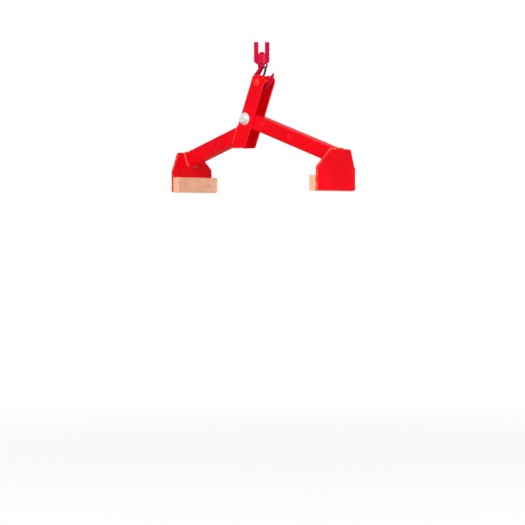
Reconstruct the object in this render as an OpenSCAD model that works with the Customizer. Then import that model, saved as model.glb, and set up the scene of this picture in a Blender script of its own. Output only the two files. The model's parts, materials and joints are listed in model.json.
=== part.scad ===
/* [Grip] */
// Diameter that the jaws close on, above the pads
rim_d = 581; // [572:1:590]
// How far the pads' hollow faces stand in from that diameter, as a ledge
rim_lip = 9.5; // [6:0.5:14]
// Play between that diameter and the inside of each jaw plate
rim_gap = 0.5; // [0.5:0.5:4]

/* [Hoist yoke] */
// Turn of the yoke about the vertical, seen from above
yoke_turn = 41; // [0:1:90]
// Width over the two ears
yoke_w = 48; // [44:1:60]
// Gap between the ears
yoke_gap = 20; // [19:0.5:24]
// Radius of the ears round the hoist bore
ear_r = 14; // [11:1:16]
// Diameter of the hoist bore
hoist_bore_d = 13; // [10:0.5:16]
// Hoist bore centre to the underside of the yoke
yoke_drop = 54; // [52:1:64]
// Height of the barrel that holds the swivel
barrel_h = 30; // [28:1:34]
// Diameter of the barrel
barrel_d = 34; // [30:1:40]
// Floor of the barrel, which carries the swivel nut
barrel_floor = 12; // [9:1:14]
// Chamfer on the lower corners of the ears
ear_chamfer = 8; // [4:1:10]
// Height of the domed barrel cap above the barrel
cap_h = 8; // [5:0.5:9]

/* [Swivel] */
// Diameter of the hook shank
shank_d = 12; // [10:0.5:13]
// Height of the round swivel nut
nut_h = 12; // [8:0.5:12]
// Thickness of the thrust washer under the nut
thrust_t = 2; // [1:0.5:3]
// Diameter of the spring pin through the nut
nut_pin_d = 3; // [2:0.5:4]
// Diameter of the collar under the yoke
collar_d = 24; // [20:1:28]
// Height of the collar
collar_h = 10; // [8:0.5:12]

/* [Hook] */
// Radius of the hook's bowl
bowl_r = 27; // [24:0.5:30]
// Width of the hook across its flat sides
hook_w = 18; // [14:1:22]
// Thickness of the neck
neck_t = 14; // [12:0.5:16]
// Thickness of the back
back_t = 17; // [14:0.5:19]
// Thickness under the bowl
bottom_t = 22; // [18:0.5:26]
// Thickness where the tip leaves the bowl
tip_t = 13; // [10:0.5:14]
// Length of the straight tip
tip_len = 38; // [34:1:40]

/* [Latch] */
// Distance of the latch rivet from the shank's axis
latch_out = 17.5; // [16.5:0.5:19]
// Length of the latch from its rivet to its end
latch_len = 39.5; // [37:0.5:40]
// Lean of the hanging latch from the vertical, towards the shank
latch_lean = 21; // [14:1:26]
// Bend radius of the latch strip
latch_bend_r = 70; // [50:5:120]
// Thickness of the latch strip
latch_t = 3; // [2:0.5:4]
// Thickness of each latch ear
latch_ear_t = 1.8; // [1.5:0.1:3]
// Thickness of the hook's lug between the latch ears
lug_t = 4; // [3:0.5:6]
// Diameter of the latch rivet
rivet_d = 4; // [3:0.5:5]

/* [Mast] */
// Hoist bore centre to the lifting pin's centre
pin_drop = 112; // [106:1:122]
// Diameter of the lifting pin
pin_d = 20; // [16:1:24]
// How far each end of the lifting pin stands proud of the mast
pin_stub = 2; // [1:0.5:6]
// Lean of the mast, its top towards the swinging arm
mast_tilt = 21.9; // [20:0.1:24]
// Width of the mast's side flanges
mast_w = 54; // [50:1:62]
// Mast centre line to the lifting pin, towards the open side
mast_shift = 3; // [0:0.5:5]
// Wall of the mast channel
mast_wall = 5; // [4:0.5:6]
// Outer bend radius of the mast channel
mast_bend_r = 6; // [6:0.5:8]
// Height of the flange tops above the lifting pin
mast_top = 22; // [18:1:28]
// Depth of the mast's foot below the lifting pin
mast_foot = 201; // [196:1:220]
// Start of the web below the lifting pin, along the mast
web_start = 48; // [46:1:70]
// Radius of the sharp corner at the top of each flange
top_corner_r = 18; // [8:1:20]
// Radius of the corners at the foot of each flange
foot_corner_r = 9; // [4:1:12]

/* [Pivot] */
// Pivot bolt below the lifting pin, along the mast
pivot_below = 120.5; // [118:0.5:130]
// Pivot bolt to the lifting pin, across the mast
pivot_shift = -2; // [-3:0.5:0]
// Diameter of the pivot bolt
bolt_d = 16; // [12:1:16]
// Width across the flats of the bolt's head and nut
bolt_af = 24; // [22:1:27]
// Height of the bolt's head
bolt_head_h = 10; // [8:0.5:12]
// Diameter of the large washer under the bolt's head
front_washer_d = 38; // [32:1:42]
// Diameter of the washer under the nut
rear_washer_d = 30; // [28:1:38]
// Thickness of both washers
washer_t = 3; // [2:0.5:4]
// Height of the lock nut
lock_nut_h = 15; // [12:0.5:18]
// Bolt thread that shows past the lock nut
bolt_tail = 3; // [1:0.5:6]
// Outer diameter of the pivot sleeve
sleeve_d = 26; // [24:0.5:28]
// Outer diameter of the pivot bush
bush_d = 20; // [19:0.5:21]

/* [Arms] */
// Slope of both arms
arm_slope = 19.3; // [17:0.1:21]
// Height of the arm tubes
tube_h = 46; // [44:1:48]
// Width of the arm tubes
tube_w = 40; // [36:1:44]
// Wall of the arm tubes
tube_wall = 4; // [3:0.5:5]
// Outer corner radius of the arm tubes
tube_r = 6; // [5:0.5:8]
// How far the swinging arm opens
open_angle = 45; // [30:1:46]
// Thickness of the thrust rings beside the swinging arm
ring_t = 0.8; // [0.6:0.1:2]
// Outer diameter of the thrust rings
ring_d = 32; // [29:1:33]

/* [Jaws] */
// Thickness of the jaw plates
plate_t = 8; // [6:0.5:10]
// Width of the jaw plates
jaw_w = 180; // [160:2:200]
// Width of the jaw plates at their top
jaw_top_w = 92; // [70:2:110]
// Height of the leaning part, from its bend to its top
jaw_upper = 53; // [52:1:60]
// Height of the upright part, from its bottom to its bend
jaw_lower = 73; // [66:1:80]
// Arm centre line below the top of the jaw plate
jaw_cover = 24; // [24:0.5:26]
// Depth below the bend at which the slanting shoulders end
shoulder_drop = 6; // [0:1:12]

/* [Pads] */
// Height of the pads
pad_h = 48; // [42:1:52]
// How far the pads reach below the jaw plates
pad_drop = 2; // [0:0.5:4]
// Radius of the pads' lower inner edge
pad_round = 8; // [4:0.5:12]
// Radius of the pads' upper inner edge
pad_lip_r = 2; // [1:0.5:4]
// Spacing of the pad screws
screw_pitch = 120; // [100:2:130]
// Diameter of the pad screws
screw_d = 6; // [5:0.5:8]
// Diameter of the countersunk screw heads
screw_head_d = 12; // [10:0.5:13]
// Depth of the screw heads below the pad face
screw_sink = 3; // [2:0.5:5]

/* [Hidden] */
$fn = 64;

paint_red = "red";
hook_red = "crimson";
zinc = "lightgray";
spring_grey = "dimgray";
bronze = "peru";
pad_cream = "bisque";

// Clearances: a running fit on a radius, an open gap between parts that move, and a fit inside one body
run_gap = 0.05;
move_gap = 0.3;
fit_gap = 0.1;
// Reach of cutting blocks, longer than any part they cut
far = 600;
// Corner rounds stop a little short of their tangent points
round_ease = 1.01;

// Yoke levels, measured from the hoist bore
barrel_top = barrel_h - yoke_drop;
pocket_floor = barrel_floor - yoke_drop;
pocket_d = yoke_gap - 2;
cap_d = yoke_gap - 2 * move_gap;
cap_spigot = 2;
nut_d = pocket_d - 1;
nut_base = pocket_floor + thrust_t;
shank_top = nut_base + nut_h + 1;
collar_top = -yoke_drop - move_gap;
collar_foot = collar_top - collar_h;

// Hook bowl, centred over the lifting pin that rests in it
bowl_z = bowl_r - pin_drop - pin_d / 2 - move_gap;
bowl_drop = collar_foot - bowl_z;
tip_lean = 36;
hook_sides = 16;
hook_steps = 4;
hook_squareness = 0.8;

// Centre line of the hook: place across and up, thickness, width. Neck and back first, then round the bowl
function on_bowl(angle, t) =
    [(bowl_r + t / 2) * cos(angle), bowl_z + (bowl_r + t / 2) * sin(angle), t, hook_w];
function on_tip(share, t, w) =
    [on_bowl(-tip_lean, tip_t)[0] + share * tip_len * sin(tip_lean),
     on_bowl(-tip_lean, tip_t)[1] + share * tip_len * cos(tip_lean), t, w];
hook_stations = [
    [0, collar_foot + 5, neck_t, neck_t],
    [-0.04 * bowl_r, collar_foot, neck_t, neck_t],
    [-0.37 * bowl_r, collar_foot - 0.42 * bowl_drop, (neck_t + back_t) / 2, (neck_t + hook_w) / 2],
    [-0.78 * bowl_r, collar_foot - 0.75 * bowl_drop, back_t, hook_w],
    [-1.1 * bowl_r, collar_foot - 1.16 * bowl_drop, back_t, hook_w],
    on_bowl(216, (back_t + bottom_t) / 2),
    on_bowl(242, bottom_t - 1),
    on_bowl(270, bottom_t),
    on_bowl(300, (bottom_t + tip_t) / 2),
    on_bowl(-tip_lean, tip_t),
    on_tip(0.5, 0.78 * tip_t, 0.72 * hook_w),
    on_tip(0.9, 0.5 * tip_t, 0.42 * hook_w),
    on_tip(1, 0.2 * tip_t, 0.22 * hook_w)
];
function spline(a, b, c, d, s) =
    0.5 * (2 * b + (c - a) * s + (2 * a - 5 * b + 4 * c - d) * s * s + (3 * b - a - 3 * c + d) * s * s * s);
function station(i) = hook_stations[max(0, min(len(hook_stations) - 1, i))];
hook_line = [
    for (i = [0 : len(hook_stations) - 2], k = [0 : hook_steps - 1])
        spline(station(i - 1), station(i), station(i + 1), station(i + 2), k / hook_steps),
    station(len(hook_stations) - 1)
];
function heading(i) =
    let (d = hook_line[min(len(hook_line) - 1, i + 1)] - hook_line[max(0, i - 1)]) [d[0], d[1]] / norm([d[0], d[1]]);
function squared(v) = sign(v) * pow(abs(v), hook_squareness);
function hook_ring(i) = [
    for (k = [0 : hook_sides - 1])
        let (
            p = hook_line[i],
            h = heading(i),
            in = squared(cos(360 * k / hook_sides)) * p[2] / 2,
            across = squared(sin(360 * k / hook_sides)) * p[3] / 2
        )
        [p[0] - h[1] * in, across, p[1] + h[0] * in]
];

// Latch rivet and the arc that the latch strip follows
latch_z = (collar_top + collar_foot) / 2;
latch_arm_r = rivet_d / 2 + 2.5;
latch_w = lug_t + 2 * run_gap + 2 * latch_ear_t;
latch_sweep = 2 * asin(latch_len / 2 / latch_bend_r);
rivet_head_d = rivet_d + 2.5;
rivet_head_t = 1;

// Mast frame: across the flanges towards the open side, and up along the mast from the lifting pin
side_gap = ring_t + 0.2;
mast_in = tube_w + 2 * side_gap;
mast_d = mast_in + 2 * mast_wall;
web_out = mast_shift - mast_w / 2;
web_in = web_out + mast_wall;
lip = mast_shift + mast_w / 2;
level = [cos(mast_tilt), sin(mast_tilt)];
function mast_at(across, height) = [across, (height + across * sin(mast_tilt)) / cos(mast_tilt)];

// Pivot in the part's frame, and the swinging arm's frame: out along the arm, and up from its centre line
pivot_x = pivot_shift * cos(mast_tilt) - pivot_below * sin(mast_tilt);
pivot_z = -pin_drop - pivot_shift * sin(mast_tilt) - pivot_below * cos(mast_tilt);
heel_reach = pivot_shift - web_in - fit_gap;
heel_lean = mast_tilt - arm_slope;
function heel_face(angle) = [cos(heel_lean + angle), -sin(heel_lean + angle)];

// Jaw plates: bend line on the outer face, and the arm's length up to the inner face
neck_d = rim_d - 2 * rim_lip;
jaw_in = rim_d / 2 + rim_gap;
jaw_out = jaw_in + plate_t;
bend_below = jaw_upper - jaw_cover;
arm_end_x = jaw_out + bend_below * sin(arm_slope) - plate_t * cos(arm_slope);
swing_len = (arm_end_x - pivot_x) / cos(arm_slope);
arm_end_z = pivot_z - swing_len * sin(arm_slope);
bend_z = arm_end_z - plate_t * sin(arm_slope) - bend_below * cos(arm_slope);
jaw_foot = bend_z - jaw_lower;
pad_foot = jaw_foot - pad_drop;

// Pad screws: the pad's face there, the seat under the heads, and the thread in the plate
screw_y = screw_pitch / 2;
screw_z = pad_foot + pad_h / 2;
screw_face = sqrt(neck_d * neck_d / 4 - screw_y * screw_y);
screw_head = screw_face + screw_sink;
screw_cone = (screw_head_d - screw_d) / 2;
screw_grip = plate_t - 2;

// Pivot bolt levels, from the mast's outer faces
bolt_front = mast_d / 2 + washer_t;
bolt_back = mast_d / 2 + washer_t + lock_nut_h + bolt_tail;

module rounded_rect(w, h, r) {
    square([w - 2 * r, h], center = true);
    square([w, h - 2 * r], center = true);
    for (x = [-1, 1], y = [-1, 1])
        translate([x * (w / 2 - r), y * (h / 2 - r)])
            circle(r);
}

// What a round of radius r takes off the corner p between edges that leave it along d1 and d2
module corner_waste(p, d1, d2, r) {
    half = acos(d1 * d2) / 2;
    reach = r / tan(half);
    middle = p + (d1 + d2) / norm(d1 + d2) * r / sin(half);
    difference() {
        polygon([p - d1 - d2, p + d1 * reach, middle, p + d2 * reach]);
        translate(middle)
            circle(r * round_ease);
    }
}

// Extrudes a drawing of the XZ plane to both sides of the middle plane
module upright(width) {
    rotate([90, 0, 0])
        linear_extrude(width, center = true)
            children();
}

module cross_cylinder(d, from, to) {
    translate([0, from, 0])
        rotate([-90, 0, 0])
            cylinder(d = d, h = to - from);
}

module mast_frame() {
    translate([0, 0, -pin_drop])
        rotate([0, mast_tilt, 0])
            children();
}

module pivot_frame() {
    translate([pivot_x, 0, pivot_z])
        children();
}

module swing_frame() {
    pivot_frame()
        rotate([0, arm_slope, 0])
            children();
}

module fixed_side() {
    mirror([1, 0, 0])
        children();
}

// Frame at the arm's end on the swinging side, on the inner face of the jaw plate
module arm_end_frame() {
    translate([arm_end_x, 0, arm_end_z])
        rotate([0, arm_slope, 0])
            children();
}

module tube_section(inset) {
    rounded_rect(tube_h - 2 * inset, tube_w - 2 * inset, max(tube_r - inset, 1));
}

// A stretch of arm tube along X
module tube_bar(inset, from, to) {
    translate([from, 0, 0])
        rotate([0, 90, 0])
            linear_extrude(to - from)
                tube_section(inset);
}

// Everything at the arm's heel that would foul the web between shut and open
module heel_waste() {
    for (angle = [0, open_angle])
        rotate(-heel_lean - angle)
            translate([-heel_reach - far, -far / 2])
                square(far);
    difference() {
        polygon(concat(
            [[0, 0]],
            [for (angle = [0 : open_angle / 2 : open_angle]) -2 * heel_reach * heel_face(angle)]
        ));
        circle(heel_reach - move_gap);
    }
}

module yoke_profile() {
    w = yoke_w / 2;
    polygon([
        [-w, ear_r], [-w, ear_chamfer - yoke_drop], [ear_chamfer - w, -yoke_drop],
        [w - ear_chamfer, -yoke_drop], [w, ear_chamfer - yoke_drop], [w, ear_r],
        [yoke_gap / 2, ear_r], [yoke_gap / 2, barrel_top], [-yoke_gap / 2, barrel_top], [-yoke_gap / 2, ear_r]
    ]);
}

module yoke() {
    color(hook_red)
        rotate([0, 0, yoke_turn])
            difference() {
                union() {
                    intersection() {
                        upright(2 * ear_r)
                            yoke_profile();
                        rotate([90, 0, 90])
                            linear_extrude(yoke_w, center = true) {
                                circle(ear_r);
                                translate([-ear_r, -yoke_drop])
                                    square([2 * ear_r, yoke_drop]);
                            }
                    }
                    translate([0, 0, -yoke_drop])
                        cylinder(d = barrel_d, h = barrel_h);
                }
                rotate([0, 90, 0])
                    cylinder(d = hoist_bore_d, h = yoke_w + 2, center = true);
                translate([0, 0, pocket_floor])
                    cylinder(d = pocket_d, h = yoke_drop);
                translate([0, 0, -yoke_drop - 1])
                    cylinder(r = shank_d / 2 + run_gap, h = barrel_floor + 2);
            }
}

module swivel_cap() {
    dome_r = (cap_d * cap_d / 4 + cap_h * cap_h) / (2 * cap_h);
    color(hook_red)
        translate([0, 0, barrel_top])
            rotate_extrude() {
                intersection() {
                    translate([0, cap_h - dome_r])
                        circle(dome_r);
                    square([cap_d / 2, cap_h]);
                }
                translate([0, -cap_spigot])
                    square([pocket_d / 2 - fit_gap, cap_spigot]);
            }
}

module thrust_washer() {
    color(bronze)
        translate([0, 0, pocket_floor])
            difference() {
                cylinder(d = pocket_d - 2 * fit_gap, h = thrust_t);
                translate([0, 0, -1])
                    cylinder(r = shank_d / 2 + move_gap, h = thrust_t + 2);
            }
}

module hook_body() {
    rings = [for (i = [0 : len(hook_line) - 1]) hook_ring(i)];
    last = len(rings) - 1;
    polyhedron(
        points = [for (ring = rings, p = ring) p],
        faces = concat(
            [[for (k = [hook_sides - 1 : -1 : 0]) k]],
            [[for (k = [0 : hook_sides - 1]) last * hook_sides + k]],
            [for (i = [0 : last - 1], k = [0 : hook_sides - 1], half = [0, 1])
                let (
                    a = i * hook_sides + k,
                    b = i * hook_sides + (k + 1) % hook_sides
                )
                half == 0 ? [a, b, a + hook_sides] : [b, b + hook_sides, a + hook_sides]]
        )
    );
}

module latch_lug_outline() {
    translate([latch_out, latch_z])
        circle(latch_arm_r - 0.5);
    translate([0, latch_z - latch_arm_r + 0.5])
        square([latch_out, 2 * latch_arm_r - 1]);
}

module rivet_bore(gap) {
    translate([latch_out, 0, latch_z])
        cross_cylinder(rivet_d + 2 * gap, -hook_w, hook_w);
}

module hook() {
    color(hook_red)
        difference() {
            union() {
                hook_body();
                translate([0, 0, collar_foot])
                    cylinder(d = collar_d, h = collar_h);
                translate([0, 0, collar_foot])
                    cylinder(d = shank_d, h = shank_top - collar_foot);
                upright(lug_t)
                    latch_lug_outline();
            }
            rivet_bore(run_gap);
            translate([0, 0, nut_base + nut_h / 2])
                cross_cylinder(nut_pin_d + 2 * fit_gap, -nut_d, nut_d);
        }
}

module swivel_nut() {
    color(zinc)
        difference() {
            translate([0, 0, nut_base])
                cylinder(d = nut_d, h = nut_h);
            translate([0, 0, nut_base - 1])
                cylinder(d = shank_d + 2 * fit_gap, h = nut_h + 2);
            translate([0, 0, nut_base + nut_h / 2])
                cross_cylinder(nut_pin_d + 2 * fit_gap, -nut_d, nut_d);
        }
}

module nut_pin() {
    color(zinc)
        translate([0, 0, nut_base + nut_h / 2])
            cross_cylinder(nut_pin_d, 0.5 - nut_d / 2, nut_d / 2 - 0.5);
}

// Bent strip of the latch, drawn hanging from its rivet at the origin
module latch_outline() {
    circle(latch_arm_r);
    rotate(latch_sweep / 2 - latch_lean)
        translate([-latch_bend_r, 0])
            intersection() {
                difference() {
                    circle(latch_bend_r + latch_t / 2);
                    circle(latch_bend_r - latch_t / 2);
                }
                polygon([
                    [0, 0],
                    [2 * latch_bend_r, 0],
                    2 * latch_bend_r * [cos(latch_sweep), -sin(latch_sweep)]
                ]);
            }
}

module latch() {
    color(spring_grey)
        difference() {
            translate([latch_out, 0, latch_z])
                difference() {
                    upright(latch_w)
                        latch_outline();
                    upright(lug_t + 2 * run_gap)
                        circle(latch_arm_r + 2);
                }
            rivet_bore(run_gap);
        }
}

module latch_rivet() {
    head_from = latch_w / 2 + run_gap;
    color(zinc)
        translate([latch_out, 0, latch_z]) {
            cross_cylinder(rivet_d, -head_from, head_from);
            for (side = [0, 180])
                rotate([0, 0, side])
                    cross_cylinder(rivet_head_d, head_from, head_from + rivet_head_t);
        }
}

// Outline of a mast flange, with its top and foot cut level
module flange_outline() {
    difference() {
        polygon([
            mast_at(web_out, mast_top), mast_at(lip, mast_top),
            mast_at(lip, -mast_foot), mast_at(web_out, -mast_foot)
        ]);
        corner_waste(mast_at(lip, mast_top), -level, [0, -1], top_corner_r);
        corner_waste(mast_at(web_out, mast_top), level, [0, -1], foot_corner_r);
        corner_waste(mast_at(lip, -mast_foot), -level, [0, 1], foot_corner_r);
        corner_waste(mast_at(web_out, -mast_foot), level, [0, 1], foot_corner_r);
    }
}

module channel_section() {
    reach = 2 * mast_w;
    difference() {
        translate([web_out + reach / 2, 0])
            rounded_rect(reach, mast_d, mast_bend_r);
        translate([web_in + reach / 2, 0])
            rounded_rect(reach, mast_in, side_gap - fit_gap);
    }
}

module mast_channel() {
    color(paint_red)
        mast_frame()
            difference() {
                intersection() {
                    upright(mast_d + 2)
                        flange_outline();
                    translate([0, 0, -far / 2])
                        linear_extrude(far)
                            channel_section();
                }
                translate([web_out - 1, -mast_in / 2, -web_start])
                    cube([mast_w, mast_in, far]);
                cross_cylinder(pin_d + 2 * fit_gap, -mast_d, mast_d);
                translate([pivot_shift, 0, -pivot_below])
                    cross_cylinder(bolt_d + 2 * move_gap, -mast_d, mast_d);
            }
}

module lifting_pin() {
    end = mast_d / 2 + pin_stub;
    color(paint_red)
        translate([0, 0, -pin_drop])
            cross_cylinder(pin_d, -end, end);
}

// Cut from a bar as long as the swinging arm, to the slant of the mast's web
module fixed_arm_tube() {
    color(paint_red)
        difference() {
            fixed_side()
                arm_end_frame()
                    difference() {
                        tube_bar(0, -swing_len, 0);
                        tube_bar(tube_wall, -swing_len - 1, 1);
                    }
            mast_frame()
                translate([web_out, -far / 2, -far])
                    cube([far, far, 2 * far]);
        }
}

// Side view of the bent jaw plate on the swinging side
module jaw_side() {
    up = [sin(arm_slope), cos(arm_slope)];
    out = [cos(arm_slope), -sin(arm_slope)];
    bend = [jaw_out, bend_z];
    bend_in = bend - [plate_t, -plate_t * tan(arm_slope / 2)];
    polygon([
        bend, bend + jaw_upper * up, bend + jaw_upper * up - plate_t * out, bend_in,
        [jaw_in, jaw_foot], [jaw_out, jaw_foot]
    ]);
}

// Front view of the jaw plate, square to its leaning part, with the bend at the origin
module jaw_front() {
    polygon([
        [-jaw_w / 2, -2 * jaw_lower], [jaw_w / 2, -2 * jaw_lower],
        [jaw_w / 2, -shoulder_drop], [jaw_top_w / 2, jaw_upper + 1],
        [-jaw_top_w / 2, jaw_upper + 1], [-jaw_w / 2, -shoulder_drop]
    ]);
}

module jaw_plate() {
    difference() {
        intersection() {
            upright(jaw_w + 2)
                jaw_side();
            translate([jaw_out, 0, bend_z])
                rotate([0, arm_slope, 0])
                    rotate([90, 0, 90])
                        linear_extrude(jaw_w, center = true)
                            jaw_front();
        }
        for (side = [-1, 1])
            translate([jaw_in - 1, side * screw_y, screw_z])
                rotate([0, 90, 0])
                    cylinder(r = screw_d / 2 + fit_gap, h = screw_grip + 1.5);
    }
}

// Radial section of a pad, from its hollow face outwards
module pad_section() {
    depth = jaw_w / 2;
    translate([neck_d / 2, pad_foot])
        difference() {
            square([depth, pad_h]);
            corner_waste([0, 0], [1, 0], [0, 1], pad_round);
            corner_waste([0, pad_h], [1, 0], [0, -1], pad_lip_r);
        }
}

module pad_screw(gap) {
    rotate([0, 90, 0]) {
        cylinder(r1 = screw_head_d / 2 + gap, r2 = screw_d / 2 + gap, h = screw_cone);
        cylinder(r = screw_d / 2 + gap, h = jaw_in + screw_grip - screw_head);
    }
}

module at_pad_screws() {
    for (side = [-1, 1])
        translate([screw_head, side * screw_y, screw_z])
            children();
}

module jaw_pad() {
    difference() {
        intersection() {
            rotate_extrude($fn = 180)
                pad_section();
            translate([0, -jaw_w / 2, pad_foot - 1])
                cube([jaw_in, jaw_w, pad_h + 2]);
        }
        at_pad_screws() {
            pad_screw(fit_gap);
            rotate([0, -90, 0])
                cylinder(r = screw_head_d / 2 + fit_gap, h = 3 * screw_sink);
        }
    }
}

module pad_screws() {
    at_pad_screws()
        pad_screw(0);
}

module fixed_jaw_plate() {
    color(paint_red)
        fixed_side()
            jaw_plate();
}

module fixed_jaw_pad() {
    color(pad_cream)
        fixed_side()
            jaw_pad();
}

module fixed_pad_screws() {
    color(zinc)
        fixed_side()
            pad_screws();
}

module hexagon_nut(af, from, to) {
    translate([0, from, 0])
        rotate([-90, 0, 0])
            cylinder(d = af / cos(30), h = to - from, $fn = 6);
}

module pivot_bolt() {
    color(zinc)
        pivot_frame() {
            hexagon_nut(bolt_af, -bolt_front - bolt_head_h, -bolt_front);
            cross_cylinder(bolt_d, -bolt_front, bolt_back);
        }
}

module washer(d, from) {
    color(zinc)
        pivot_frame()
            difference() {
                cross_cylinder(d, from, from + washer_t);
                cross_cylinder(bolt_d + 2 * fit_gap, from - 1, from + washer_t + 1);
            }
}

module front_washer() {
    washer(front_washer_d, -bolt_front);
}

module rear_washer() {
    washer(rear_washer_d, mast_d / 2);
}

module lock_nut() {
    color(zinc)
        pivot_frame()
            difference() {
                hexagon_nut(bolt_af, bolt_front, bolt_front + lock_nut_h);
                cross_cylinder(bolt_d + 2 * fit_gap, bolt_front - 1, bolt_front + lock_nut_h + 1);
            }
}

module swing_arm_tube() {
    color(paint_red)
        swing_frame()
            difference() {
                tube_bar(0, -2 * heel_reach, swing_len);
                tube_bar(tube_wall, -2 * heel_reach - 1, swing_len + 1);
                upright(2 * tube_w)
                    heel_waste();
                cross_cylinder(sleeve_d + 2 * fit_gap, -tube_w, tube_w);
            }
}

module heel_block() {
    color(paint_red)
        swing_frame()
            difference() {
                tube_bar(tube_wall + fit_gap, -2 * heel_reach, sleeve_d / 4);
                upright(2 * tube_w)
                    heel_waste();
                cross_cylinder(sleeve_d + 2 * fit_gap, -tube_w, tube_w);
            }
}

module pivot_ring(outer, inner, from, to) {
    swing_frame()
        difference() {
            cross_cylinder(outer, from, to);
            cross_cylinder(inner, from - 1, to + 1);
        }
}

module pivot_sleeve() {
    color(paint_red)
        pivot_ring(sleeve_d, bush_d + 2 * fit_gap, -tube_w / 2, tube_w / 2);
}

module pivot_bush() {
    color(bronze)
        pivot_ring(bush_d, bolt_d + 2 * run_gap, -tube_w / 2, tube_w / 2);
}

module thrust_rings() {
    color(bronze)
        for (from = [-tube_w / 2 - ring_t, tube_w / 2])
            pivot_ring(ring_d, bolt_d + 2 * move_gap, from, from + ring_t);
}

module swing_jaw_plate() {
    color(paint_red)
        jaw_plate();
}

module swing_jaw_pad() {
    color(pad_cream)
        jaw_pad();
}

module swing_pad_screws() {
    color(zinc)
        pad_screws();
}

yoke();
swivel_cap();
thrust_washer();
hook();
swivel_nut();
nut_pin();
latch();
latch_rivet();
mast_channel();
lifting_pin();
fixed_arm_tube();
fixed_jaw_plate();
fixed_jaw_pad();
fixed_pad_screws();
pivot_bolt();
front_washer();
rear_washer();
lock_nut();
swing_arm_tube();
pivot_sleeve();
pivot_bush();
heel_block();
thrust_rings();
swing_jaw_plate();
swing_jaw_pad();
swing_pad_screws();
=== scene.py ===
"""Looks of a drum lifter: painted steel frame, forged swivel hook, plated pivot and rubber pads."""

import json
import math
import random
from contextlib import contextmanager

import bpy
from bpy.props import FloatProperty, FloatVectorProperty, IntProperty, PointerProperty
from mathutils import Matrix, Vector


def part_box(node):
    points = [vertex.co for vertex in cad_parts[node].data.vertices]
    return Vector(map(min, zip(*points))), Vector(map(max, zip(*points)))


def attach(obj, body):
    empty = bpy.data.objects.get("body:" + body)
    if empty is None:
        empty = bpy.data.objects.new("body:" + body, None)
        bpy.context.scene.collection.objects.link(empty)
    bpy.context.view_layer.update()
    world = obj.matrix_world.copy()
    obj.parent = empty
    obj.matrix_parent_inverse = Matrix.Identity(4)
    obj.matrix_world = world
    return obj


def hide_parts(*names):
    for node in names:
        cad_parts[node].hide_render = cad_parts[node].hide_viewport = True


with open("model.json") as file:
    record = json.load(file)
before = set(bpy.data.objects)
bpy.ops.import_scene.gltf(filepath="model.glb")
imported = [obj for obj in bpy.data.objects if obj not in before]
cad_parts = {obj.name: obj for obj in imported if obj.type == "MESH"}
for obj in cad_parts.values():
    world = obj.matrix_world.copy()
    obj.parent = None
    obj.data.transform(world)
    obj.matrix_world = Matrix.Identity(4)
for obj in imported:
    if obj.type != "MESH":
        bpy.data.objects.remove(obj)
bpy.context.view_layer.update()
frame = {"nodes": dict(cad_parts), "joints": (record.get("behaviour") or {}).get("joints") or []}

bl_info = {
    "name": "Drum lifter looks",
    "version": (1, 0, 0),
    "blender": (4, 5, 0),
    "location": "View3D > Sidebar > Drum lifter",
    "description": "Dresses the drum lifter's solids with rounded steel, welds, plated fasteners and paint",
    "category": "Object",
}

NODES = frame["nodes"]
JOINT_AT = {joint["name"]: Vector(joint["pos_m"]) for joint in frame["joints"]}

# Mesh work: a millimetre, lengths within which points merge, angles of flat and sharp edges, and turns
MM = 0.001
MERGE = 1e-6
MERGE_TURNED = 0.02 * MM
SHORTEST = 0.3 * MM
SHORTEST_SMALL = 0.1 * MM
FLAT = math.radians(0.5)
SHARP = math.radians(33)
FULL_TURN = 2 * math.pi
QUARTER_TURN = math.pi / 2

# For each axis: the way along it, and the way out to a profile that is turned about it
AXES = {
    "X": (Vector((1, 0, 0)), Vector((0, 0, 1))),
    "Y": (Vector((0, 1, 0)), Vector((1, 0, 0))),
    "Z": (Vector((0, 0, 1)), Vector((1, 0, 0))),
}

# Places and sizes of the lifter's main lines, in metres and radians, as in the solids
PIVOT = JOINT_AT["arm_swing"]
PIN = JOINT_AT["lifter_swing"]
RIVET = JOINT_AT["latch_swing"]
ARM_SLOPE = math.radians(19.3)
MAST_TILT = math.radians(21.9)
WEB_OUTSIDE = -0.024
TUBE_HALF_H, TUBE_HALF_W, TUBE_R = 0.023, 0.020, 0.006
ARM_END_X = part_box("swing_arm_tube")[1].x - TUBE_HALF_H * math.sin(ARM_SLOPE)
ARM_END = Vector((ARM_END_X, 0, PIVOT.z - (ARM_END_X - PIVOT.x) * math.tan(ARM_SLOPE)))
PIN_R = (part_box("lifting_pin")[1].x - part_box("lifting_pin")[0].x) / 2

# Sizes of the hook and heights on its axis, in millimetres, and its tip's lean in degrees
MOVE_GAP = 0.3
BOWL_R = 27.0
BOWL_Z = (PIN.z - PIN_R) / MM + BOWL_R - MOVE_GAP
SHANK_R, SHANK_TOP = 6.0, -27.0
COLLAR_R = 12.0
COLLAR_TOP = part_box("yoke")[0].z / MM - MOVE_GAP
COLLAR_FOOT = COLLAR_TOP - 10.0
NECK_T, BACK_T, BOTTOM_T, TIP_T = 14.0, 17.0, 22.0, 13.0
HOOK_W = 18.0
TIP_LEAN, TIP_LEN = 36.0, 38.0

# Weld beads: margin off the steel, seat in the corner, stray and sizes of the ripples, size of the
# mesh, and the smaller beads round the lifting pin
BEAD_MARGIN = 0.2 * MM
BEAD_SEAT = 0.7 * MM
BEAD_STRAY = 0.25 * MM
BEAD_SIZES = 0.92, 1.06
BEAD_GRAIN = 0.65 * MM
PIN_BEAD_R = 2.1 * MM
PIN_BEAD_OUT = 0.4 * MM

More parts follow.
